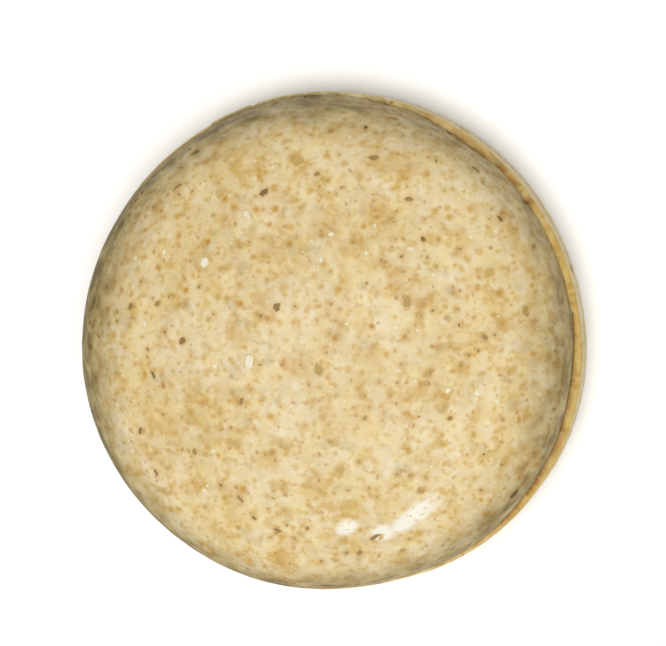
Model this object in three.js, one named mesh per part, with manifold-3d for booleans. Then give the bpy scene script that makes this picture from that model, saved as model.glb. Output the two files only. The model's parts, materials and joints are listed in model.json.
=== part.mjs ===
// A shaving soap puck: one pressed body of soap, and the husk flecks, bran granules and soap crumbs in its skin.
// Millimetres, +Z up along the puck's axis. The origin is the centre of the flat base.
import * as THREE from "three";
import { mergeVertices } from "three/addons/utils/BufferGeometryUtils.js";
import Module from "manifold-3d";

// Sizes of the pressed body
const bandRadius = 35; // the straight band round the foot
const bandHeight = 7; // from the base up to the ledge
const footRounding = 0.9; // the band's lower edge
const rimRounding = 0.45; // the band's upper edge
const ledgeWidth = 0.6; // from the band to the dome's foot, averaged round the puck
const domeHeight = 16; // from the ledge to the top
const domeFullness = 2.2; // exponent of the dome's outline: 2 is an ellipse, and more is fuller
const domeShift = 0.5; // how far off the band's centre the dome was pressed
const domeShiftAzimuth = 208; // degrees from +X, so that the ledge is widest at 28 degrees
const domeRoot = 1; // how far the dome's own solid reaches down into the band to join it

// Sizes of what is set in the soap
const seatClearance = 0.2; // gap between a piece and its pocket
const huskThickness = 0.6; // how deep a fleck reaches
const branFlatness = 0.8; // a granule's depth as a share of its width
const crumbFlatness = 0.7; // a crumb's depth as a share of its width
const cutDepth = 0.12; // how far below the skin the middle of a granule or crumb lies, as a share of its depth

// Fineness of the facets
const turnSegments = 80;
const domeSteps = 13;
const edgeSteps = 3;
const leafSteps = 4;

// Where each piece lies. On the dome and the base: azimuth, share of the way out to the edge, heading of its
// long side, length, width. On the band: azimuth, share of the way up, slope of its long side, length, width.
const husksOnDome = [
  [174, 0.49, 56, 1.6, 0.95],
  [260, 0.71, 165, 1.5, 0.7],
  [57, 0.73, 178, 1.7, 0.8],
  [7, 0.7, 125, 1.3, 0.9],
  [284, 0.82, 65, 1.2, 0.7],
  [77, 0.91, 82, 1.1, 0.65],
  [130, 0.85, 40, 2.2, 0.65],
  [105, 0.66, 40, 2.1, 0.9],
  [87, 0.71, 178, 0.9, 0.75],
  [166, 0.74, 57, 1.3, 0.8],
  [221, 0.59, 96, 1, 0.8],
  [117, 0.22, 67, 1.4, 1.15],
  [188, 0.62, 120, 1.6, 0.65],
  [290, 0.77, 34, 2.3, 0.7],
  [72, 0.81, 8, 2, 0.85],
  [36, 0.91, 149, 1.6, 0.65],
  [45, 0.65, 140, 1.1, 0.75],
  [338, 0.61, 50, 0.85, 0.75],
  [162, 0.63, 39, 1.2, 0.75],
  [245, 0.63, 124, 1.6, 0.6],
  [49, 0.96, 152, 1.7, 0.8],
  [218, 0.79, 111, 1.6, 0.6],
  [205, 0.75, 66, 1.6, 0.65],
  [325, 0.96, 50, 2.4, 1.2],
  [216, 0.3, 77, 1.3, 0.65],
  [122, 0.93, 40, 1.6, 0.6],
];
const branOnDome = [
  [94, 0.76, 160, 3.1, 1.9],
  [328, 0.08, 107, 2.3, 1.3],
  [29, 0.46, 105, 2.3, 1.4],
  [119, 0.72, 76, 1.9, 1.4],
  [25, 0.78, 43, 2.2, 1.4],
  [358, 0.61, 66, 1.4, 1.1],
  [311, 0.69, 160, 1.5, 1.2],
  [349, 0.49, 178, 1.2, 1],
  [12, 0.86, 87, 2.4, 1.4],
  [288, 0.46, 15, 1.8, 1.4],
];
const crumbsOnDome = [
  [185, 0.21, 84, 2.2, 1.4],
  [113, 0.6, 136, 1.6, 0.95],
  [138, 0.54, 70, 1.7, 1.3],
];
const husksOnBand = [
  [18, 0.45, 20, 1.7, 0.7],
  [97, 0.62, 160, 1.3, 0.7],
  [171, 0.4, 75, 1.6, 0.65],
  [248, 0.58, 35, 1.9, 0.7],
  [306, 0.36, 110, 1.2, 0.8],
];
const branOnBand = [
  [58, 0.52, 15, 2, 1.3],
  [212, 0.55, 170, 1.8, 1.2],
  [340, 0.48, 60, 1.6, 1.2],
];
const husksOnBase = [
  [33, 0.55, 25, 1.8, 0.7],
  [151, 0.72, 130, 1.5, 0.8],
  [268, 0.38, 70, 2, 0.7],
];
const branOnBase = [
  [95, 0.3, 40, 2.2, 1.4],
  [205, 0.6, 150, 1.9, 1.3],
  [322, 0.68, 95, 1.7, 1.2],
];

// Colours and surfaces
const soapMaterial = new THREE.MeshStandardMaterial({ color: 0xe3cb98, roughness: 0.6, metalness: 0 });
const huskMaterial = new THREE.MeshStandardMaterial({ color: 0x75532a, roughness: 0.75, metalness: 0 });
const branMaterial = new THREE.MeshStandardMaterial({ color: 0xb58c48, roughness: 0.7, metalness: 0 });
const crumbMaterial = new THREE.MeshStandardMaterial({ color: 0xf0ead8, roughness: 0.55, metalness: 0 });

const wasm = await Module();
wasm.setup();

const domeRadius = bandRadius - ledgeWidth;
const domeCentre = alongAzimuth(domeShiftAzimuth).multiplyScalar(domeShift);

function alongAzimuth(degrees) {
  const angle = THREE.MathUtils.degToRad(degrees);
  return new THREE.Vector3(Math.cos(angle), Math.sin(angle), 0);
}

// A closed geometry as a solid that can be joined and cut.
function solidOf(geometry) {
  const bare = geometry.index ? geometry.toNonIndexed() : geometry.clone();
  bare.deleteAttribute("normal");
  bare.deleteAttribute("uv");
  const merged = mergeVertices(bare, 1e-4);
  return new wasm.Manifold(
    new wasm.Mesh({
      numProp: 3,
      vertProperties: new Float32Array(merged.attributes.position.array),
      triVerts: new Uint32Array(merged.index.array),
    }),
  );
}

function geometryOf(solid) {
  const mesh = solid.getMesh();
  const geometry = new THREE.BufferGeometry();
  geometry.setAttribute("position", new THREE.BufferAttribute(new Float32Array(mesh.vertProperties), 3));
  geometry.setIndex(new THREE.BufferAttribute(new Uint32Array(mesh.triVerts), 1));
  geometry.computeVertexNormals();
  return geometry;
}

// Points of a quarter round from one angle to another, in degrees, without its first point.
function quarterRound(x, y, radius, from, to) {
  const points = [];
  for (let step = 1; step <= edgeSteps; step++) {
    const angle = THREE.MathUtils.degToRad(from + ((to - from) * step) / edgeSteps);
    points.push(new THREE.Vector2(x + radius * Math.cos(angle), y + radius * Math.sin(angle)));
  }
  return points;
}

function turned(profile) {
  return new THREE.LatheGeometry(profile, turnSegments).rotateX(Math.PI / 2);
}

// The straight band with its flat base, seen as a short disc.
function bandSolid() {
  return solidOf(
    turned([
      new THREE.Vector2(0, 0),
      new THREE.Vector2(bandRadius - footRounding, 0),
      ...quarterRound(bandRadius - footRounding, footRounding, footRounding, -90, 0),
      new THREE.Vector2(bandRadius, bandHeight - rimRounding),
      ...quarterRound(bandRadius - rimRounding, bandHeight - rimRounding, rimRounding, 0, 90),
      new THREE.Vector2(0, bandHeight),
    ]),
  );
}

// The dome's radius and height above the ledge, from its foot at 0 to its top at 1.
function domeOutline(share) {
  const angle = (share * Math.PI) / 2;
  return new THREE.Vector2(
    domeRadius * Math.cos(angle) ** (2 / domeFullness),
    domeHeight * Math.sin(angle) ** (2 / domeFullness),
  );
}

function domeSolid() {
  const profile = [new THREE.Vector2(0, bandHeight - domeRoot), new THREE.Vector2(domeRadius, bandHeight - domeRoot)];
  for (let step = 0; step < domeSteps; step++) {
    const { x, y } = domeOutline(step / domeSteps);
    profile.push(new THREE.Vector2(x, bandHeight + y));
  }
  profile.push(new THREE.Vector2(0, bandHeight + domeHeight));
  return solidOf(turned(profile).translate(domeCentre.x, domeCentre.y, 0));
}

// A seat is a place on the skin, the direction out of it, and the direction of a piece's long side along it.
function seat(place, out, towards) {
  const along = towards.clone().addScaledVector(out, -towards.dot(out)).normalize();
  return new THREE.Matrix4().makeBasis(along, out.clone().cross(along), out).setPosition(place);
}

function seatOnDome(azimuth, share, heading) {
  const rise = (1 - share ** domeFullness) ** (1 / domeFullness);
  const outwards = alongAzimuth(azimuth);
  const place = domeCentre.clone().addScaledVector(outwards, share * domeRadius);
  place.z = bandHeight + rise * domeHeight;
  const normal = outwards.multiplyScalar(share ** (domeFullness - 1) / domeRadius);
  normal.z = rise ** (domeFullness - 1) / domeHeight;
  return seat(place, normal.normalize(), alongAzimuth(heading));
}

function seatOnBand(azimuth, share, slope) {
  const outwards = alongAzimuth(azimuth);
  const place = outwards.clone().multiplyScalar(bandRadius);
  place.z = share * bandHeight;
  const angle = THREE.MathUtils.degToRad(slope);
  const towards = alongAzimuth(azimuth + 90).multiplyScalar(Math.cos(angle));
  towards.z = Math.sin(angle);
  return seat(place, outwards, towards);
}

function seatOnBase(azimuth, share, heading) {
  const place = alongAzimuth(azimuth).multiplyScalar(share * (bandRadius - footRounding));
  return seat(place, new THREE.Vector3(0, 0, -1), alongAzimuth(heading));
}

// A husk fleck: a leaf outline with two pointed ends, standing through the skin.
function huskGeometry(length, width, gap) {
  const half = length / 2 + gap;
  const bulge = width + 2 * gap; // a curve's middle is half as far out as its control point
  const outline = new THREE.Shape();
  outline.moveTo(-half, 0);
  outline.quadraticCurveTo(0, -bulge, half, 0);
  outline.quadraticCurveTo(0, bulge, -half, 0);
  const depth = 2 * (huskThickness + gap);
  const leaf = new THREE.ExtrudeGeometry(outline, { depth, bevelEnabled: false, curveSegments: leafSteps });
  return leaf.translate(0, 0, -depth / 2);
}

// A bran granule: a grain with flat sides.
function branGeometry(length, width, gap) {
  const depth = branFlatness * width;
  const grain = new THREE.DodecahedronGeometry(1);
  grain.scale(length / 2 + gap, width / 2 + gap, depth / 2 + gap);
  return grain.translate(0, 0, -cutDepth * depth);
}

// A crumb of plain soap: a rounded lump.
function crumbGeometry(length, width, gap) {
  const depth = crumbFlatness * width;
  const lump = new THREE.IcosahedronGeometry(1, 1);
  lump.scale(length / 2 + gap, width / 2 + gap, depth / 2 + gap);
  return lump.translate(0, 0, -cutDepth * depth);
}

const pressed = bandSolid().add(domeSolid());
let soap = pressed;
const puck = new THREE.Group();

function addMesh(name, solid, material) {
  const mesh = new THREE.Mesh(geometryOf(solid), material);
  mesh.name = name;
  puck.add(mesh);
}

// Presses each piece of a kind into the skin: the piece is cut flush, and the soap gets its pocket.
function setPieces(name, makeGeometry, material, places) {
  places.forEach(([seatOn, azimuth, share, heading, length, width], index) => {
    const frame = seatOn(azimuth, share, heading);
    const piece = solidOf(makeGeometry(length, width, 0).applyMatrix4(frame));
    const pocket = solidOf(makeGeometry(length, width, seatClearance).applyMatrix4(frame));
    soap = soap.subtract(pocket);
    addMesh(name + "_" + String(index + 1).padStart(2, "0"), piece.intersect(pressed), material);
  });
}

function onFace(seatOn, places) {
  return places.map((place) => [seatOn, ...place]);
}

setPieces("husk_fleck", huskGeometry, huskMaterial, [
  ...onFace(seatOnDome, husksOnDome),
  ...onFace(seatOnBand, husksOnBand),
  ...onFace(seatOnBase, husksOnBase),
]);
setPieces("bran_granule", branGeometry, branMaterial, [
  ...onFace(seatOnDome, branOnDome),
  ...onFace(seatOnBand, branOnBand),
  ...onFace(seatOnBase, branOnBase),
]);
setPieces("soap_crumb", crumbGeometry, crumbMaterial, onFace(seatOnDome, crumbsOnDome));
addMesh("soap_body", soap, soapMaterial);

export default puck;
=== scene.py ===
import itertools
import json
import math
import random

import bmesh
import bpy
from mathutils import Matrix, Vector, noise
from mathutils.bvhtree import BVHTree
from mathutils.kdtree import KDTree

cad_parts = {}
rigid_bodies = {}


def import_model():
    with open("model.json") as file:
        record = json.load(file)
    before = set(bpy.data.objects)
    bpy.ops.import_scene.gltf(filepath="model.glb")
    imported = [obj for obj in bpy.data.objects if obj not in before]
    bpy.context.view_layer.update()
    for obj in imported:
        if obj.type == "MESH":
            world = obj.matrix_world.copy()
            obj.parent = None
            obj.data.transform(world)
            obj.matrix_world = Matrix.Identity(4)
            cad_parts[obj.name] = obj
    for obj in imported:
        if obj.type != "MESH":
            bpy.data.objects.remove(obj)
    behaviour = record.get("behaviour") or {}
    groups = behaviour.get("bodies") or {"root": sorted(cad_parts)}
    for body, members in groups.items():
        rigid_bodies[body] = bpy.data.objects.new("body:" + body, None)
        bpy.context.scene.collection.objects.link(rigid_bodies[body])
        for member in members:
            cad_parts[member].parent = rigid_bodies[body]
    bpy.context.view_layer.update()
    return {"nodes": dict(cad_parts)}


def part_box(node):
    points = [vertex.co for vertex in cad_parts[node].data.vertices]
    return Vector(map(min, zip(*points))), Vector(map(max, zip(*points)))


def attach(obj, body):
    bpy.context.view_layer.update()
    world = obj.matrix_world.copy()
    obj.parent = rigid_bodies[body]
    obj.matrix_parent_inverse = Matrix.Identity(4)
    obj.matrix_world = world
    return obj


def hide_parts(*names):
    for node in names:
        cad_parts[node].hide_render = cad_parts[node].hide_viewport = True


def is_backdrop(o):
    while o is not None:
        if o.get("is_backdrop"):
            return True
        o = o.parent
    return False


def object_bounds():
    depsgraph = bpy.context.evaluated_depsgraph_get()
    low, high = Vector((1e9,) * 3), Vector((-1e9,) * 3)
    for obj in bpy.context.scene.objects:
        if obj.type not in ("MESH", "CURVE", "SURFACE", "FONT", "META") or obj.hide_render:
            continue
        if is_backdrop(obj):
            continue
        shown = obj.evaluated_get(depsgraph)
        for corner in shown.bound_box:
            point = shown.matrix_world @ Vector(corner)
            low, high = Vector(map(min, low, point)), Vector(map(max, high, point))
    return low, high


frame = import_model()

mm = 0.001  # the scene is in metres
noise.seed_set(7)  # without this the clock would shape the outlines of the set pieces
print("frame loaded:", len(frame["nodes"]), "CAD nodes")


# the pressed body of soap
puck = {
    "cutsPerSide": 119,  # how finely each side of the starting cube is cut
    "bandHeight": 7.0,  # from the base up to the ledge, mm
    "footRounding": 0.9,
    "rimRounding": 0.45,
    "ledgeWidth": 0.6,  # averaged round the puck
    "domeFullness": 2.2,  # 2 is an ellipse, more is fuller
    "domeShift": 0.5,  # how far off centre the dome was pressed
    "domeShiftAzimuth": 208.0,
    "capShare": 0.55,  # how much of the dome's radius the cube's top face covers
    "flankRows": 66,  # this and the next four add up to one more than the cuts
    "ledgeRows": 16,
    "rimRows": 8,
    "bandRows": 20,
    "footRows": 10,
    "flankCrowding": 1.25,  # more than 1 draws the rows together at the dome's foot
    "ledgeCrowding": 1.3,
}
tiny = 1e-4
_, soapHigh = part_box("soap_body")
bandRadius = soapHigh.x / mm
domeRadius = bandRadius - puck["ledgeWidth"]
domeHeight = soapHigh.z / mm - puck["bandHeight"]
domeTurn = Matrix.Rotation(math.radians(puck["domeShiftAzimuth"]), 3, "Z")
domeCentre = domeTurn @ Vector((puck["domeShift"], 0, 0))


def towards(azimuth):
    return Vector((math.cos(azimuth), math.sin(azimuth), 0))


def domePoint(angle):  # radius and height above the ledge, from the foot at 0 to the top at a right angle
    power = 2 / puck["domeFullness"]
    return domeRadius * math.cos(angle) ** power, domeHeight * math.sin(angle) ** power


def domeHeightAt(radius):
    full = puck["domeFullness"]
    return domeHeight * (1 - min(radius / domeRadius, 1) ** full) ** (1 / full)


def footRadius(azimuth):  # from the band's axis to the dome's foot
    along = domeCentre.dot(towards(azimuth))
    return along + math.sqrt(domeRadius**2 - domeCentre.length_squared + along**2)


def squareToDisc(x, y):  # a square's rings become circles with evenly spaced points
    reach = max(abs(x), abs(y))
    if reach < 1e-9:
        return 0.0, 0.0
    if abs(x) >= abs(y):
        turn = math.pi / 4 * y / x
        return reach, turn if x > 0 else turn + math.pi
    turn = math.pi / 2 - math.pi / 4 * x / y
    return reach, turn if y > 0 else turn + math.pi


def sidePoint(row, azimuth):  # down the flank, over the ledge and the rim, and down the band to the foot
    capAngle = math.acos(puck["capShare"] ** (puck["domeFullness"] / 2))
    if row <= puck["flankRows"]:
        radius, height = domePoint(capAngle * (1 - row / puck["flankRows"]) ** puck["flankCrowding"])
        place = domeCentre + towards(azimuth) * radius
        return Vector((place.x, place.y, puck["bandHeight"] + height))
    row -= puck["flankRows"]
    foot = footRadius(azimuth)
    rim = puck["rimRounding"]
    startAngle = math.acos(max(0, min(1, (foot - bandRadius + rim) / rim)))
    if row <= puck["ledgeRows"]:
        share = (row / puck["ledgeRows"]) ** puck["ledgeCrowding"]
        radius = foot + (max(foot, bandRadius - rim) - foot) * share
        drop = rim * (1 - math.sin(startAngle)) * share
        return towards(azimuth) * radius + Vector((0, 0, puck["bandHeight"] - drop))
    row -= puck["ledgeRows"]
    if row <= puck["rimRows"]:
        angle = startAngle * (1 - row / puck["rimRows"])
        radius = bandRadius - rim + rim * math.cos(angle)
        return towards(azimuth) * radius + Vector((0, 0, puck["bandHeight"] - rim + rim * math.sin(angle)))
    row -= puck["rimRows"]
    bend = puck["footRounding"]
    if row <= puck["bandRows"]:
        height = puck["bandHeight"] - rim + (bend - puck["bandHeight"] + rim) * row / puck["bandRows"]
        return towards(azimuth) * bandRadius + Vector((0, 0, height))
    angle = math.pi / 2 * (row - puck["bandRows"]) / puck["footRows"]
    radius = bandRadius - bend + bend * math.cos(angle)
    return towards(azimuth) * radius + Vector((0, 0, bend * (1 - math.sin(angle))))


def idealPuck():  # a cube cut fine: its top becomes the dome's cap, its sides the flank and the band
    body = bmesh.new()
    bmesh.ops.create_cube(body, size=2)
    bmesh.ops.subdivide_edges(body, edges=body.edges[:], cuts=puck["cutsPerSide"], use_grid_fill=True)
    rows = puck["cutsPerSide"] + 1
    for vert in body.verts:
        reach, azimuth = squareToDisc(vert.co.x, vert.co.y)
        if vert.co.z > 1 - tiny:
            radius = reach * puck["capShare"] * domeRadius
            place = domeCentre + towards(azimuth) * radius
            vert.co = place.x, place.y, puck["bandHeight"] + domeHeightAt(radius)
        elif vert.co.z < -1 + tiny:
            vert.co = towards(azimuth) * reach * (bandRadius - puck["footRounding"])
        else:
            vert.co = sidePoint(round((1 - vert.co.z) / 2 * rows), azimuth)
    bmesh.ops.recalc_face_normals(body, faces=body.faces)
    body.normal_update()
    return body


# how hand pressing and drying left the skin
skin = {
    # azimuth, half width and push in mm, for the whole outline and then for the dome's foot only
    "lobes": [(200, 34, 0.55), (284, 17, -0.6), (341, 22, 0.5), (120, 27, -0.28), (2, 9, 0.1)],
    "footLobes": [(343, 24, -0.62), (56, 7, -0.3), (96, 24, 0.35)],
    "footFadeUp": 1.3,  # how far up the dome, and out over the ledge, its foot's push reaches
    "footFadeOut": 1.0,
    "stepAzimuth": 8.9,  # where the dome's foot steps outward, and how fast that fades
    "stepWidth": 8.0,
    "stepSize": 0.5,
    "lumps": [(9.0, 0.06), (3.1, 0.032), (1.25, 0.018)],  # size and height in mm
    "pitSpacing": 3.4,
    "pitShare": 0.65,  # how many of the places have a pit
    "pitRadius": (0.07, 0.14),  # the smallest, and what luck adds, as shares of the spacing
    "pitDepth": 0.16,
    "strandSpacing": 0.55,  # drag marks where the puck slid out of its mould
    "strandLength": 9.0,
    "strandDepth": 0.04,
    "hollowSpacing": 4.0,  # on the base
    "hollowDepth": 0.04,
    "creaseDepth": 0.16,
    "creaseWidth": 0.2,
    "creaseSpacing": 1.7,  # of its deeper and shallower stretches
    "creaseReach": 4.0,  # the crease is looked for no further in, and no further down, than these
    "creaseDrop": 0.3,
    "creaseZone": 3.0,  # how far from the crease the skin still follows it
    "filletSize": 0.5,
    "filletReach": 0.8,
    "filletSpan": 110,  # degrees
    "filletSplit": 0.05,  # how much of the split is left where the fillet is softest
    "nickSpacing": 1.3,
    "nickEdge": (0.15, 0.4),  # noise values from which a nick starts and is full
}


def angleGap(a, b):  # in degrees, from -180 to 180
    return (a - b + 180) % 360 - 180


def lobes(shapes, azimuth):
    return sum(push * math.exp(-((angleGap(azimuth, centre) / width) ** 2)) for centre, width, push in shapes)


def footPush(azimuth):
    gap = angleGap(skin["stepAzimuth"], azimuth)
    step = skin["stepSize"] * math.exp(-gap / skin["stepWidth"]) if gap > 0 else 0
    return step + lobes(skin["footLobes"], azimuth)


def ease(value, start, end):  # 0 to 1, smoothly
    share = max(0, min(1, (value - start) / (end - start)))
    return share * share * (3 - 2 * share)


def between(least, share):  # from the least value up to 1
    return least + (1 - least) * share


def creaseSharpness(azimuth):  # a split, but a soft fillet with a few nicks past the step
    if not 0 < angleGap(azimuth, skin["stepAzimuth"]) < skin["filletSpan"]:
        return 1.0
    along = towards(math.radians(azimuth)) * bandRadius
    nick = ease(noise.noise(along / skin["nickSpacing"]), *skin["nickEdge"])
    return between(skin["filletSplit"], nick)


scatter = 91.7  # stretches a cell's centre so far that neighbours have unlike luck


def pits(place):
    near, centres = noise.voronoi(place / skin["pitSpacing"])
    luck = noise.cell(centres[0] * scatter)
    least, more = skin["pitRadius"]
    radius = least + more * luck
    if luck < 1 - skin["pitShare"] or near[0] > radius:
        return 0.0
    return -skin["pitDepth"] * (0.4 + 0.6 * luck) * (1 - (near[0] / radius) ** 2) ** 2


def fromCrease(place, azimuth):  # how far a point is from the crease, or nothing if it is far away
    radius = math.hypot(place.x, place.y)
    if radius < domeRadius - skin["creaseReach"] or place.z < puck["bandHeight"] - skin["creaseDrop"]:
        return None
    if place.z > puck["bandHeight"] + tiny:
        return place.z - puck["bandHeight"]
    return max(0, radius - footRadius(azimuth))


def skinMove(place, out):
    angle = math.atan2(place.y, place.x)
    azimuth = math.degrees(angle)
    radius = math.hypot(place.x, place.y)
    sideways = towards(angle)
    move = sideways * lobes(skin["lobes"], azimuth) * (radius / bandRadius) ** 3
    if place.z < tiny:  # the base stays flat, with shallow hollows only
        return move + Vector((0, 0, skin["hollowDepth"] * abs(noise.noise(place / skin["hollowSpacing"]))))
    height = sum(size * noise.noise(place / spacing) for spacing, size in skin["lumps"]) + pits(place)
    onDome = place.z > puck["bandHeight"] + tiny
    away = fromCrease(place, angle)
    if away is not None and away < skin["creaseZone"]:
        reach = skin["footFadeUp"] if onDome else skin["footFadeOut"]
        fade = math.exp(-((away / reach) ** 2)) if onDome else max(0, 1 - away / reach)
        move += sideways * footPush(azimuth) * fade
        ragged = 0.6 + 0.8 * noise.noise(sideways * bandRadius / skin["creaseSpacing"])
        sharp = creaseSharpness(azimuth)
        height -= sharp * ragged * skin["creaseDepth"] * math.exp(-((away / skin["creaseWidth"]) ** 2))
        height += (1 - sharp) * skin["filletSize"] * math.exp(-away / skin["filletReach"])
    if not onDome:
        drawn = Vector((0, 0, place.z / skin["strandLength"]))
        strands = noise.noise(sideways * bandRadius / skin["strandSpacing"] + drawn)
        height += skin["strandDepth"] * strands
    return move + out * height


def settle(place):  # nothing reaches below the surface that the puck lies on
    place.z = max(place.z, 0)
    return place


ideal = idealPuck()
idealSkin = BVHTree.FromBMesh(ideal)
body = ideal.copy()
for vert, source in zip(body.verts, ideal.verts):
    vert.co = settle(source.co + skinMove(source.co, source.normal))
body.normal_update()
realSkin = BVHTree.FromBMesh(body)
print("soap skin pressed:", len(body.faces), "faces")


def toPiece(name, shape, material, smooth=True):  # a bmesh in millimetres as a finished piece
    bmesh.ops.scale(shape, vec=(mm, mm, mm), verts=shape.verts)
    for face in shape.faces:
        face.smooth = smooth
    mesh = bpy.data.meshes.new(name)
    shape.to_mesh(mesh)
    shape.free()
    mesh.materials.append(material)
    piece = bpy.data.objects.new(name, mesh)
    bpy.context.scene.collection.objects.link(piece)
    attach(piece, "root")
    return piece


# marks on the soap that its material reads
marks = {
    "stainReach": 0.4,  # how far a piece's tint spreads past its edge, mm
    "stainCore": 0.6,  # share of the piece's radius where the tint is full
    # painted shade: a little on the pressed top, most at the dome's foot, changed round it by the lobes below
    "topShade": 0.1,
    "topFrom": 11.0,  # heights above the ledge, mm
    "topFull": 15.0,
    "footShade": 0.84,
    "footFrom": 9.8,
    "footFull": 3.2,
    "mostShade": 1.15,
    # azimuth, half width and change in the foot's shade, and in the height that it starts from
    "shadeLobes": [(35, 32, -0.34), (176, 34, 0.75), (115, 25, 0.08), (222, 28, 0.2), (285, 30, -0.12)],
    "fromLobes": [(34, 20, -1.4), (-4, 22, 2.6), (168, 38, 3.2), (95, 20, 0.8), (230, 25, 0.8)],
    "shadePatches": (3.4, 0.5),  # size in mm and strength
    # the first of these two is painted shade along the crease
    "creaseTint": 0.2,  # how far these two reach from the crease, mm
    "ledgeTint": 0.15,
    # azimuth, share of the dome's radius, heading, length and width in mm
    "smears": [(283, 0.7, 30, 3.2, 2.1), (292.7, 0.765, 20, 3.0, 2.3), (303.6, 0.755, 39.5, 8.0, 2.3)],
    "smearFall": 0.9,  # how fast a white streak thins out, and how thick it is where it starts and is full
    "smearEdge": (0.2, 0.6),
    # where the ledge is amber, where it carries olive painted shade, and where it isn't golden
    "amberLobes": [(-36, 14, 1.2), (43, 9, 1.8), (60, 9, 1.0), (-12, 9, 0.6), (15, 10, 0.3)],
    "ledgeShadeLobes": [(92, 32, 0.4), (48, 9, 0.3), (-75, 15, 0.2)],
    "ledgeDullLobes": [(85, 34, 0.75), (-65, 18, 0.5)],
    "ledgePatches": (1.3, 1.6),
    "ledgeShadeHeights": (-0.6, 0),  # heights from the ledge, where it starts and where it is full, mm
    "goldHeights": (-1.2, -0.1),
    "goldBelow": 0.3,  # what is left of the ledge's gold low on the band
    # the band's pale streaks: partly its own, partly painted light on the band
    "wallHeights": (0.1, -0.5),
    "wallFootHeights": (-4.5, -1.2),
    "wallBelow": 0.15,  # what is left of the band's streaks at its foot
    "amberOuter": 0.02,  # where amber starts inside the band's radius, mm
    "amberShare": 0.4,  # and the share of the ledge's width, from the crease, where it is full
}
markNames = ("stain", "shade", "ledge", "amber", "wall", "crease", "smear")


def shadeAt(height, azimuth):  # painted shade: a little on the pressed top, none on the shoulder, which stays pale, and olive at the foot
    start = marks["footFrom"] + lobes(marks["fromLobes"], azimuth)
    foot = (marks["footShade"] + lobes(marks["shadeLobes"], azimuth)) * ease(height, start, marks["footFull"])
    return foot + marks["topShade"] * ease(height, marks["topFrom"], marks["topFull"])


def whiteStreakAt(place):  # white streaks on one side of the dome's shoulder
    most = 0
    for where, share, heading, length, width in marks["smears"]:
        gap = place - domeCentre - towards(math.radians(where)) * share * domeRadius
        u = gap.dot(towards(math.radians(heading))) / (length / 2)
        v = gap.dot(towards(math.radians(heading + 90))) / (width / 2)
        most = max(most, ease(math.exp(-(u * u + v * v) * marks["smearFall"]), *marks["smearEdge"]))
    return most


# the larger pieces that the frame holds, with their worn shape
setPiece = {
    "voxel": 0.085,  # mm, as are the rest
    "raggedness": 0.13,
    "raggedSpacing": 0.6,
    "roughness": 0.035,
    "roughSpacing": 0.35,
    "filmSpacing": 0.5,
    "filmRaggedness": 0.5,  # shares of the piece's own spread, with the two below
    "filmEdge": (0.9, 1.9),  # where the film of soap starts and where it hides the piece
    "lift": {"husk_fleck": 0.12, "bran_granule": 0.15, "soap_crumb": 0.15},
}


def rounded(node):  # a CAD piece as an even mesh, without its sharp corners
    mesh = node.data.copy()
    shape = bmesh.new()
    shape.from_mesh(mesh)
    bmesh.ops.remove_doubles(shape, verts=shape.verts, dist=tiny * mm)
    shape.to_mesh(mesh)
    shape.free()
    holder = bpy.data.objects.new("holder", mesh)
    bpy.context.scene.collection.objects.link(holder)
    evened = holder.modifiers.new("evened", "REMESH")
    evened.mode = "VOXEL"
    evened.voxel_size = setPiece["voxel"] * mm
    eased = holder.modifiers.new("eased", "SMOOTH")
    eased.factor = 0.5
    eased.iterations = 3
    shape = bmesh.new()
    shape.from_object(holder, bpy.context.evaluated_depsgraph_get())
    bpy.data.objects.remove(holder)
    bmesh.ops.scale(shape, vec=(1 / mm,) * 3, verts=shape.verts)
    return shape


def pieceLayers(shape):  # tone, how bare of soap, and the soap's painted shade there
    return [shape.verts.layers.float.new(name) for name in ("tone", "core", "shade")]


# the soap's painted shade at a point, which the pieces set there take on
def shadeOf(place):
    height = place.z - puck["bandHeight"]
    return shadeAt(height, math.degrees(math.atan2(place.y, place.x))) if height > 0 else 0


def settled(shape, lift, tone, rng):  # follows the real skin instead of the ideal one
    tones, cores, shades = pieceLayers(shape)
    shift = Vector([rng.uniform(-50, 50) for _ in range(3)])
    middle = sum((vert.co for vert in shape.verts), Vector()) / len(shape.verts)
    _, up, _, _ = idealSkin.find_nearest(middle)
    # how far out each point is, in the piece's own plane, with its spread as the measure
    side = up.orthogonal().normalized()
    flat = [((vert.co - middle).dot(side), (vert.co - middle).dot(up.cross(side))) for vert in shape.verts]
    uu, uv, vv = (sum(a[i] * a[j] for a in flat) / len(flat) for i, j in ((0, 0), (0, 1), (1, 1)))
    for vert, (u, v) in zip(shape.verts, flat):
        fromMiddle = math.sqrt((vv * u * u - 2 * uv * u * v + uu * v * v) / (uu * vv - uv * uv))
        place, out, _, _ = idealSkin.find_nearest(vert.co)
        depth = (vert.co - place).dot(out)
        ragged = noise.noise_vector(vert.co / setPiece["raggedSpacing"] + shift) * setPiece["raggedness"]
        place += ragged - out * ragged.dot(out)
        rough = setPiece["roughness"] * noise.noise(vert.co / setPiece["roughSpacing"] + shift)
        vert.co = settle(place + skinMove(place, out) + out * (depth + lift + rough))
        film = setPiece["filmRaggedness"] * noise.noise(vert.co / setPiece["filmSpacing"] - shift)
        vert[tones] = tone
        vert[cores] = 1 - ease(fromMiddle + film, *setPiece["filmEdge"])
        vert[shades] = shadeOf(place)


def linear(hexColour):
    parts = [int(hexColour[i : i + 2], 16) / 255 for i in (1, 3, 5)]
    return [p / 12.92 if p <= 0.04045 else ((p + 0.055) / 1.055) ** 2.4 for p in parts] + [1]


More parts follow.
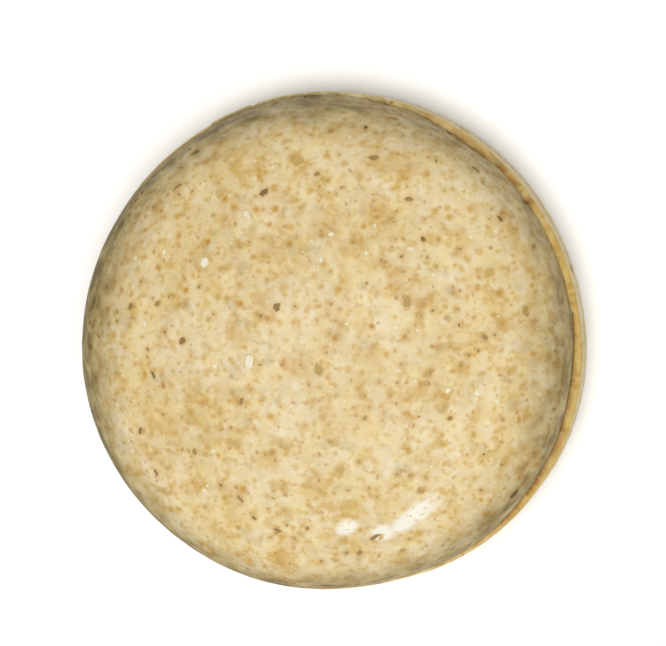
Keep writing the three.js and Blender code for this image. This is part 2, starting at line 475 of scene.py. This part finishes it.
def addNode(tree, kind, settings, inputs):
    node = tree.nodes.new("ShaderNode" + kind)
    for name, value in settings.items():
        setattr(node, name, value)
    for name, value in inputs.items():
        socket = next(s for s in node.inputs if name in (s.identifier, s.name))
        if isinstance(value, bpy.types.NodeSocket):
            tree.links.new(value, socket)
        else:
            socket.default_value = value
    return node


def newMaterial(name):
    material = bpy.data.materials.new(name)
    material.use_nodes = True
    material.node_tree.nodes.clear()
    return material, material.node_tree


soapLook = {
    "tones": {
        "cream": "#e5d3ad",
        "pale": "#f2e8ca",
        "cloud": "#f3ecd9",  # from here to crease, what the soap's colour is multiplied by
        "straw": "#fffbe0",
        "ochre": "#e4c45a",
        "brown": "#c79038",
        "grey": "#d2d0c6",
        # painted shade, and the olive blotches within it
        "shade": "#8d8740",
        "olive": "#c3ac56",
        "amber": "#d4b05a",
        "gold": "#e2d6a2",
        # painted shade in the crease
        "crease": "#8a7a52",
        "scuff": "#f4f1e4",
    },
    # size in mm, fine detail, shift in mm, where the patch starts and is full, how strong, tone, blend
    "clouds": [
        (9.0, 1, 3, 0.4, 0.62, 0.7, "cloud", "MULTIPLY"),
        (1.9, 1, 29, 0.5, 0.72, 0.32, "pale", "MIX"),
        (0.9, 1, 53, 0.52, 0.74, 0.22, "pale", "MIX"),
        (4.2, 2, 7, 0.48, 0.68, 0.32, "ochre", "MULTIPLY"),
        (2.1, 2, 17, 0.5, 0.7, 0.5, "ochre", "MULTIPLY"),
        (1.0, 1, 37, 0.54, 0.74, 0.45, "ochre", "MULTIPLY"),
        (2.7, 1, 73, 0.6, 0.74, 0.35, "grey", "MULTIPLY"),
        (5.0, 1, 91, 0.42, 0.6, 0.45, "straw", "MULTIPLY"),
        (1.6, 1, 67, 0.42, 0.6, 0.5, "straw", "MULTIPLY"),
    ],
    # spacing in mm, shift, widest radius as a share of the spacing, how strong, tone, blend
    "spots": [
        (2.3, 11, 0.44, 0.9, "ochre", "MULTIPLY"),
        (1.5, 31, 0.42, 0.7, "ochre", "MULTIPLY"),
        (1.7, 47, 0.34, 0.7, "brown", "MULTIPLY"),
        (2.0, 59, 0.36, 0.4, "pale", "MIX"),
    ],
    "wobble": (0.8, 0.6),  # size and reach of the bends in the patches' edges, mm
    "dragStretch": 0.3,  # less than 1 draws the painted shade's mottle at the dome's foot out round the puck
    "roughness": 0.58,
    "ior": 1.46,
    "grit": 0.45,  # size and height of the grain left by drying, mm
    "gritHeight": 0.04,
    "seeThrough": 0.25,  # share of the light that goes in, and how far red, green and blue get, mm
    "seeThroughReach": (0.9, 0.7, 0.45),
}


# Milled soap stock pressed in a mould: waxy and a little see-through, so its patches have soft edges, with
# ground bran of every size down to dust in it. Painted shade makes the dome's foot olive; the ledge and the
# band dried out first, so they are golden and streaked, and the band's pale streaks are partly painted light.
def pressedSoap():
    material, tree = newMaterial("pressed milled soap")
    tones = {name: linear(tone) for name, tone in soapLook["tones"].items()}
    marked = {}
    for name in markNames:
        marked[name] = addNode(tree, "Attribute", {"attribute_name": name}, {}).outputs["Fac"]
    place = addNode(tree, "TexCoord", {}, {}).outputs["Object"]
    wobbleSize, wobbleReach = soapLook["wobble"]
    wobble = addNode(tree, "TexNoise", {}, {"Vector": place, "Scale": 1 / (wobbleSize * mm), "Detail": 1.0})
    wobbled = addNode(tree, "VectorMath", {"operation": "MULTIPLY_ADD"}, {
        "Vector": wobble.outputs["Color"], "Vector_001": (wobbleReach * mm,) * 3,
        "Vector_002": place}).outputs[0]
    flat = addNode(tree, "VectorMath", {"operation": "MULTIPLY"}, {"Vector": place, "Vector_001": (1, 1, 0)})
    spoke = addNode(tree, "VectorMath", {"operation": "NORMALIZE"}, {"Vector": flat.outputs[0]})
    around = addNode(tree, "VectorMath", {"operation": "SCALE"}, {
        "Vector": spoke.outputs[0], "Scale": bandRadius * mm}).outputs[0]  # the same all the way up the band
    upward = addNode(tree, "VectorMath", {"operation": "MULTIPLY"}, {
        "Vector": place, "Vector_001": (0, 0, 1)})
    dragged = addNode(tree, "VectorMath", {"operation": "MULTIPLY_ADD"}, {
        "Vector": around, "Vector_001": (soapLook["dragStretch"],) * 3,
        "Vector_002": upward.outputs[0]}).outputs[0]

    colour = tones["cream"]
    for size, detail, shift, start, full, most, tone, blend in soapLook["clouds"]:
        moved = addNode(tree, "Mapping", {}, {"Vector": place, "Location": (shift * mm,) * 3})
        field = addNode(tree, "TexNoise", {}, {
            "Vector": moved.outputs[0], "Scale": 1 / (size * mm), "Detail": float(detail), "Roughness": 0.5})
        share = addNode(tree, "MapRange", {"interpolation_type": "SMOOTHSTEP"}, {
            "Value": field.outputs["Fac"], "From Min": start, "From Max": full, "To Max": most})
        colour = addNode(tree, "Mix", {"data_type": "RGBA", "blend_type": blend}, {
            "Factor_Float": share.outputs[0], "A_Color": colour, "B_Color": tones[tone]}).outputs[2]
    for spacing, shift, widest, most, tone, blend in soapLook["spots"]:
        moved = addNode(tree, "Mapping", {}, {"Vector": wobbled, "Location": (shift * mm,) * 3})
        cell = addNode(tree, "TexVoronoi", {}, {"Vector": moved.outputs[0], "Scale": 1 / (spacing * mm)})
        luck = addNode(tree, "SeparateColor", {}, {"Color": cell.outputs["Color"]})
        reach = addNode(tree, "Math", {"operation": "MULTIPLY"}, {
            "Value": luck.outputs[0], "Value_001": widest})
        share = addNode(tree, "MapRange", {"interpolation_type": "SMOOTHSTEP"}, {
            "Value": cell.outputs["Distance"], "From Max": reach.outputs[0], "To Min": most, "To Max": 0.0})
        colour = addNode(tree, "Mix", {"data_type": "RGBA", "blend_type": blend}, {
            "Factor_Float": share.outputs[0], "A_Color": colour, "B_Color": tones[tone]}).outputs[2]

    patterns = {}
    for name, where, size, start, full, least in (  # size in mm
        ("segments", around, 1.5, 0.38, 0.6, 0.2),
        ("strands", around, 0.6, 0.3, 0.62, 0.4),
        ("waxy", wobbled, 0.9, 0.33, 0.47, 0.0),
        ("blotches", place, 2.2, 0.42, 0.68, 0.0),
        ("mottle", dragged, 0.9, 0.3, 0.68, 0.6),
    ):
        field = addNode(tree, "TexNoise", {}, {"Vector": where, "Scale": 1 / (size * mm), "Detail": 2.0})
        patterns[name] = addNode(tree, "MapRange", {"interpolation_type": "SMOOTHSTEP"}, {
            "Value": field.outputs["Fac"], "From Min": start, "From Max": full, "To Min": least}).outputs[0]
    for name, pattern, strength, tone, blend in (
        ("stain", None, 1.0, "ochre", "MULTIPLY"),
        # painted shade on the dome's foot, top and ledge, mottled, with olive blotches in it
        ("shade", "mottle", 1.0, "shade", "MULTIPLY"),
        ("shade", "blotches", 0.55, "olive", "MULTIPLY"),
        # pale streaks on the band, partly painted light
        ("wall", "strands", 0.6, "pale", "MIX"),
        ("ledge", None, 1.0, "gold", "MULTIPLY"),
        ("amber", "segments", 1.0, "amber", "MULTIPLY"),
        # painted shade along the crease
        ("crease", None, 0.6, "crease", "MULTIPLY"),
        # white streaks on one side of the dome's shoulder
        ("smear", "waxy", 0.85, "scuff", "MIX"),
    ):
        share = addNode(tree, "Math", {"operation": "MULTIPLY"}, {
            "Value": marked[name], "Value_001": strength})
        if pattern:
            share = addNode(tree, "Math", {"operation": "MULTIPLY"}, {
                "Value": share.outputs[0], "Value_001": patterns[pattern]})
        colour = addNode(tree, "Mix", {"data_type": "RGBA", "blend_type": blend}, {
            "Factor_Float": share.outputs[0], "A_Color": colour, "B_Color": tones[tone]}).outputs[2]

    grit = addNode(tree, "TexNoise", {}, {
        "Vector": place, "Scale": 1 / (soapLook["grit"] * mm), "Detail": 2.0})
    bump = addNode(tree, "Bump", {}, {
        "Height": grit.outputs["Fac"], "Strength": 0.3, "Distance": soapLook["gritHeight"] * mm})
    surface = addNode(tree, "BsdfPrincipled", {}, {
        "Base Color": colour, "Roughness": soapLook["roughness"], "IOR": soapLook["ior"],
        "Normal": bump.outputs["Normal"], "Subsurface Weight": soapLook["seeThrough"],
        "Subsurface Radius": soapLook["seeThroughReach"], "Subsurface Scale": mm})
    addNode(tree, "OutputMaterial", {}, {"Surface": surface.outputs["BSDF"]})
    return material


# Heavy uncoated paper, for the floor: pressed flat and quite matt, so it has no highlight.
def plainMatt(name, colour, roughness):
    material, tree = newMaterial(name)
    surface = addNode(tree, "BsdfPrincipled", {}, {"Base Color": linear(colour), "Roughness": roughness})
    addNode(tree, "OutputMaterial", {}, {"Surface": surface.outputs["BSDF"]})
    return material


matter = {
    "fibre": 0.3,  # mm
    "fibreHeight": 0.04,
    "streaks": 0.5,  # how much the fibres change a bit's own tone
    "filmFrom": 0.15,  # how bare a bit is where its film of soap starts to clear, and where it has cleared
    "filmFull": 0.85,
    "roughness": 0.65,
}


# Ground bran and husk: plant skin, milled and dried, so it is matt and clouded by its fibres; each bit has
# its own tone, and a film of soap hides its edge, so that it sinks into the soap round it. Crumbs of stock
# that the mill left whole are alike but pale.
def embeddedMatter(name, dark, light, film):
    material, tree = newMaterial(name)
    place = addNode(tree, "TexCoord", {}, {}).outputs["Object"]
    tone = addNode(tree, "Attribute", {"attribute_name": "tone"}, {})
    core = addNode(tree, "Attribute", {"attribute_name": "core"}, {})
    shade = addNode(tree, "Attribute", {"attribute_name": "shade"}, {})
    fibre = addNode(tree, "TexNoise", {}, {
        "Vector": place, "Scale": 1 / (matter["fibre"] * mm), "Detail": 2.0})
    mixed = addNode(tree, "Math", {"operation": "MULTIPLY_ADD"}, {
        "Value": fibre.outputs["Fac"], "Value_001": matter["streaks"], "Value_002": -matter["streaks"] / 2})
    share = addNode(tree, "Math", {"operation": "ADD", "use_clamp": True}, {
        "Value": mixed.outputs[0], "Value_001": tone.outputs["Fac"]})
    own = addNode(tree, "Mix", {"data_type": "RGBA"}, {
        "Factor_Float": share.outputs[0], "A_Color": linear(dark), "B_Color": linear(light)})
    bare = addNode(tree, "MapRange", {"interpolation_type": "SMOOTHSTEP"}, {
        "Value": core.outputs["Fac"], "From Min": matter["filmFrom"], "From Max": matter["filmFull"]})
    under = addNode(tree, "Mix", {"data_type": "RGBA"}, {
        "Factor_Float": bare.outputs[0], "A_Color": linear(film), "B_Color": own.outputs[2]})
    # the soap's painted shade, laid over the bit as over the soap round it
    colour = addNode(tree, "Mix", {"data_type": "RGBA", "blend_type": "MULTIPLY"}, {
        "Factor_Float": shade.outputs["Fac"], "A_Color": under.outputs[2],
        "B_Color": linear(soapLook["tones"]["shade"])})
    bump = addNode(tree, "Bump", {}, {
        "Height": fibre.outputs["Fac"], "Strength": 0.3, "Distance": matter["fibreHeight"] * mm})
    surface = addNode(tree, "BsdfPrincipled", {}, {
        "Base Color": colour.outputs[2], "Roughness": matter["roughness"], "Normal": bump.outputs["Normal"]})
    addNode(tree, "OutputMaterial", {}, {"Surface": surface.outputs["BSDF"]})
    return material


husk = embeddedMatter("dried grain husk", "#7a6038", "#b08e54", "#d6b67a")
bran = embeddedMatter("soaked wheat bran", "#b4924e", "#cdac68", "#d9bc7e")
crumb = embeddedMatter("unmixed soap stock", "#e9dfc3", "#f2ead4", "#e4d2a2")
stains = []  # place, radius, strength of the tint that each piece gives the soap round it

rng = random.Random(41)
kinds = {  # slot, material, strength of the stain round it
    "husk_fleck": ("husk", husk, 0.5),
    "bran_granule": ("bran", bran, 0.35),
    "soap_crumb": ("crumb", crumb, 0.0),
}
for kind, (slotName, material, strength) in kinds.items():
    for name in sorted(n for n in frame["nodes"] if n.startswith(kind)):
        shape = rounded(frame["nodes"][name])
        settled(shape, setPiece["lift"][kind], rng.uniform(0, 0.9), rng)
        low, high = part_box(name)
        stains.append(((low + high) / 2 / mm, (high - low).length / 3 / mm, strength))
        pieceName = name.title().replace("_", "")
        piece = toPiece(pieceName[0].lower() + pieceName[1:], shape, material)
        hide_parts(name)
print("set pieces:", len(stains))


# the fine specks, far more than the frame holds
specks = {
    "fineHusk": {"count": 440, "length": (0.45, 1.3), "slimness": (0.35, 0.8), "stain": 0.6},
    "fineBran": {"count": 460, "length": (0.5, 1.7), "slimness": (0.45, 0.9), "stain": 0.55},
    "fineCrumbs": {"count": 200, "length": (0.5, 1.3), "slimness": (0.5, 0.95), "stain": 0},
}
plate = {  # a speck's shape, mm
    "corners": 8,
    "thickness": 0.06,
    "proud": 0.03,
    "edge": -0.012,
    "underside": 0.8,  # how wide it is underneath, as a share of its top
    "jitter": (0.7, 1.25),  # how far its corners stand from an ellipse
    "rarity": 2.2,  # more than 1 makes the long ones rare
    "crowding": 0.45,  # less than 1 lets them stand closer together
    "mostScuff": 0.4,  # no speck shows where a white streak is thicker than this
    "paleStain": 0.6,  # how much less the palest one stains
}
taken = {}  # places and sizes by cell of a coarse grid
cellSize = 2.0


def cellOf(place):
    return tuple(round(c / cellSize) for c in place)


def isFree(place, reach):
    x, y, z = cellOf(place)
    for i, j, k in itertools.product((-1, 0, 1), repeat=3):
        for other, size in taken.get((x + i, y + j, z + k), []):
            if (place - other).length <= (reach + size) * plate["crowding"]:
                return False
    return True


def take(place, reach):
    taken.setdefault(cellOf(place), []).append((place, reach))


for place, radius, _ in stains:
    take(place, radius * 2)

faces = body.faces[:]
areas = [face.calc_area() for face in faces]
reaches = []
total = 0
for area in areas:
    total += area
    reaches.append(total)


def speckled(name, style, material, seed):
    rng = random.Random(seed)
    shape = bmesh.new()
    tones, cores, shades = pieceLayers(shape)
    made = 0
    while made < style["count"]:
        face = rng.choices(faces, cum_weights=reaches)[0]
        a, b, c = (face.verts[i].co for i in (0, 1, 2))
        place = a + (b - a) * rng.random() + (c - b) * rng.random()
        least, most = style["length"]
        length = least + (most - least) * rng.random() ** plate["rarity"]
        width = length * rng.uniform(*style["slimness"])
        along = Vector([rng.gauss(0, 1) for _ in range(3)])
        place, out, _, _ = realSkin.find_nearest(place)
        along = (along - out * along.dot(out)).normalized()
        across = out.cross(along)
        tone = rng.uniform(0, 1)
        jitter = [rng.uniform(*plate["jitter"]) for _ in range(plate["corners"])]
        if not isFree(place, length) or whiteStreakAt(place) > plate["mostScuff"]:
            continue
        take(place, length)
        made += 1
        bit = bmesh.ops.create_cone(
            shape, cap_ends=True, cap_tris=True, segments=plate["corners"],
            radius1=plate["underside"], radius2=1, depth=1)
        for vert in bit["verts"]:
            u, v, w = vert.co
            corner = round(math.atan2(v, u) / math.tau * plate["corners"] * 2) // 2
            middle = abs(u) + abs(v) < tiny
            stretch = 0 if middle else jitter[corner % plate["corners"]]
            flat = place + (along * u * length / 2 + across * v * width / 2) * stretch
            under, outThere, _, _ = realSkin.find_nearest(flat)
            rise = plate["proud"] if middle else plate["edge"]
            vert.co = settle(under + outThere * (rise if w > 0 else rise - plate["thickness"]))
            vert[tones] = tone
            vert[cores] = middle
            vert[shades] = shadeOf(under)
        if style["stain"]:
            stains.append((place, (length + width) / 4, style["stain"] * (1 - plate["paleStain"] * tone)))
    toPiece(name, shape, material, smooth=False)
    print(name + ":", made)


speckled("fineHusk", specks["fineHusk"], husk, seed=7)
speckled("fineBran", specks["fineBran"], bran, seed=8)
speckled("fineCrumbs", specks["fineCrumbs"], crumb, seed=9)


def paintMarks(shape):
    layers = {name: shape.verts.layers.float.new(name) for name in markNames}
    tree = KDTree(len(shape.verts))
    for vert in shape.verts:
        tree.insert(vert.co, vert.index)
    tree.balance()
    found = shape.verts[:]
    for place, radius, strength in stains:
        for _, index, away in tree.find_range(place, radius + 2 * marks["stainReach"]):
            past = max(0, away - radius * marks["stainCore"])
            share = strength * math.exp(-((past / marks["stainReach"]) ** 2))
            vert = found[index]
            vert[layers["stain"]] = max(vert[layers["stain"]], share)
    for vert, source in zip(shape.verts, ideal.verts):
        angle = math.atan2(source.co.y, source.co.x)
        azimuth = math.degrees(angle)
        height = source.co.z - puck["bandHeight"]
        away = fromCrease(source.co, angle)
        # painted shade along the crease, faint where the fillet is soft
        if away is not None:
            vert[layers["crease"]] = creaseSharpness(azimuth) * math.exp(-((away / marks["creaseTint"]) ** 2))
        if height > tiny:
            # painted shade over the dome, in patches
            size, change = marks["shadePatches"]
            patchy = 1 + change * noise.noise(source.co / size)
            vert[layers["shade"]] = min(marks["mostShade"], shadeAt(height, azimuth) * patchy)
            vert[layers["smear"]] = whiteStreakAt(source.co)
            vert[layers["ledge"]] = math.exp(-away / marks["ledgeTint"]) if away is not None else 0
        elif source.co.z > tiny:
            dull = lobes(marks["ledgeDullLobes"], azimuth)
            gold = between(marks["goldBelow"], ease(height, *marks["goldHeights"]))
            vert[layers["ledge"]] = gold * (1 - dull)
            # the band's pale streaks, partly painted light, fading towards its foot
            streaked = between(marks["wallBelow"], ease(height, *marks["wallFootHeights"]))
            vert[layers["wall"]] = ease(height, *marks["wallHeights"]) * streaked
            # painted olive shade on the ledge
            size, change = marks["ledgePatches"]
            patchy = 1 + change * noise.noise(source.co / size)
            near = ease(height, *marks["ledgeShadeHeights"])
            vert[layers["shade"]] = near * lobes(marks["ledgeShadeLobes"], azimuth) * patchy
        foot = footRadius(angle)
        full = foot + marks["amberShare"] * (bandRadius - foot)
        inner = ease(math.hypot(source.co.x, source.co.y), bandRadius - marks["amberOuter"], full)
        vert[layers["amber"]] = vert[layers["ledge"]] * inner * lobes(marks["amberLobes"], azimuth)


paintMarks(body)
soap = toPiece("soapBody", body, pressedSoap())
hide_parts("soap_body")
print("soap body:", len(soap.data.polygons), "faces")

# floor, light and camera
studio = {
    "floorColour": "#f7f7f5",
    "floorSize": 2.5,
    # tilt from overhead, azimuth and spread in degrees, strength
    "lamps": {"softOverhead": (8, 280, 50, 3.3), "lowSide": (72, 50, 60, 0.25)},
    "fillColour": (0.88, 0.85, 0.74, 1),  # light thrown back by a warm room, linear
    "fillStrength": 0.05,
}


def makeFloor():
    shape = bmesh.new()
    bmesh.ops.create_circle(shape, cap_ends=True, segments=64, radius=studio["floorSize"])
    mesh = bpy.data.meshes.new("floor")
    shape.to_mesh(mesh)
    shape.free()
    mesh.materials.append(plainMatt("matt studio paper", studio["floorColour"], 0.9))
    floor = bpy.data.objects.new("floor", mesh)
    bpy.context.scene.collection.objects.link(floor)
    floor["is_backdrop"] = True


def makeLights():
    for name, (tilt, azimuth, spread, strength) in studio["lamps"].items():
        lamp = bpy.data.lights.new(name, "SUN")
        lamp.energy = strength
        lamp.angle = math.radians(spread)
        sun = bpy.data.objects.new(name, lamp)
        turn = Matrix.Rotation(math.radians(azimuth), 3, "Z") @ Matrix.Rotation(math.radians(tilt), 3, "Y")
        sun.rotation_mode = "QUATERNION"
        sun.rotation_quaternion = turn.to_quaternion()
        bpy.context.scene.collection.objects.link(sun)
    world = bpy.data.worlds.new("room")
    world.use_nodes = True
    tree = world.node_tree
    tree.nodes.clear()
    seen = addNode(tree, "LightPath", {}, {})
    glow = addNode(tree, "Background", {}, {
        "Color": studio["fillColour"], "Strength": studio["fillStrength"]})
    white = addNode(tree, "Background", {}, {"Color": (1, 1, 1, 1), "Strength": 1.0})
    both = addNode(tree, "MixShader", {}, {
        "Fac": seen.outputs["Is Camera Ray"], "Shader": glow.outputs[0], "Shader_001": white.outputs[0]})
    addNode(tree, "OutputWorld", {}, {"Surface": both.outputs[0]})
    bpy.context.scene.world = world


shot = {
    "tilt": 12.8,  # from straight above, towards the azimuth, degrees
    "azimuth": 28.0,
    "distance": 350.0,  # mm, as are the rest
    "target": (0.0, 0.0, 7.0),
    "aimRight": 0.61,  # how far the middle of the view is from the target
    "aimUp": 2.98,
    "viewWidth": 92.8,  # at the target
    "sensor": 36.0,
}


def makeCamera():
    tilt, azimuth = math.radians(shot["tilt"]), math.radians(shot["azimuth"])
    back = towards(azimuth) * math.sin(tilt) + Vector((0, 0, math.cos(tilt)))
    target = Vector(shot["target"])
    place = target + back * shot["distance"]
    right = Vector((0, 1, 0)).cross(back).normalized()
    up = back.cross(right)
    aim = target + right * shot["aimRight"] + up * shot["aimUp"]
    back = (place - aim).normalized()
    right = Vector((0, 1, 0)).cross(back).normalized()
    up = back.cross(right)
    lens = bpy.data.cameras.new("camera")
    lens.sensor_width = shot["sensor"]
    lens.lens = shot["sensor"] * shot["distance"] / shot["viewWidth"]
    lens.clip_start = 0.01
    lens.clip_end = 10
    camera = bpy.data.objects.new("camera", lens)
    camera.matrix_world = Matrix.Translation(place * mm) @ Matrix((right, up, back)).transposed().to_4x4()
    bpy.context.scene.collection.objects.link(camera)
    bpy.context.scene.camera = camera


makeFloor()
makeLights()
makeCamera()
bpy.context.scene.view_settings.view_transform = "Standard"
print("floor, light and camera set")

low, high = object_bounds()
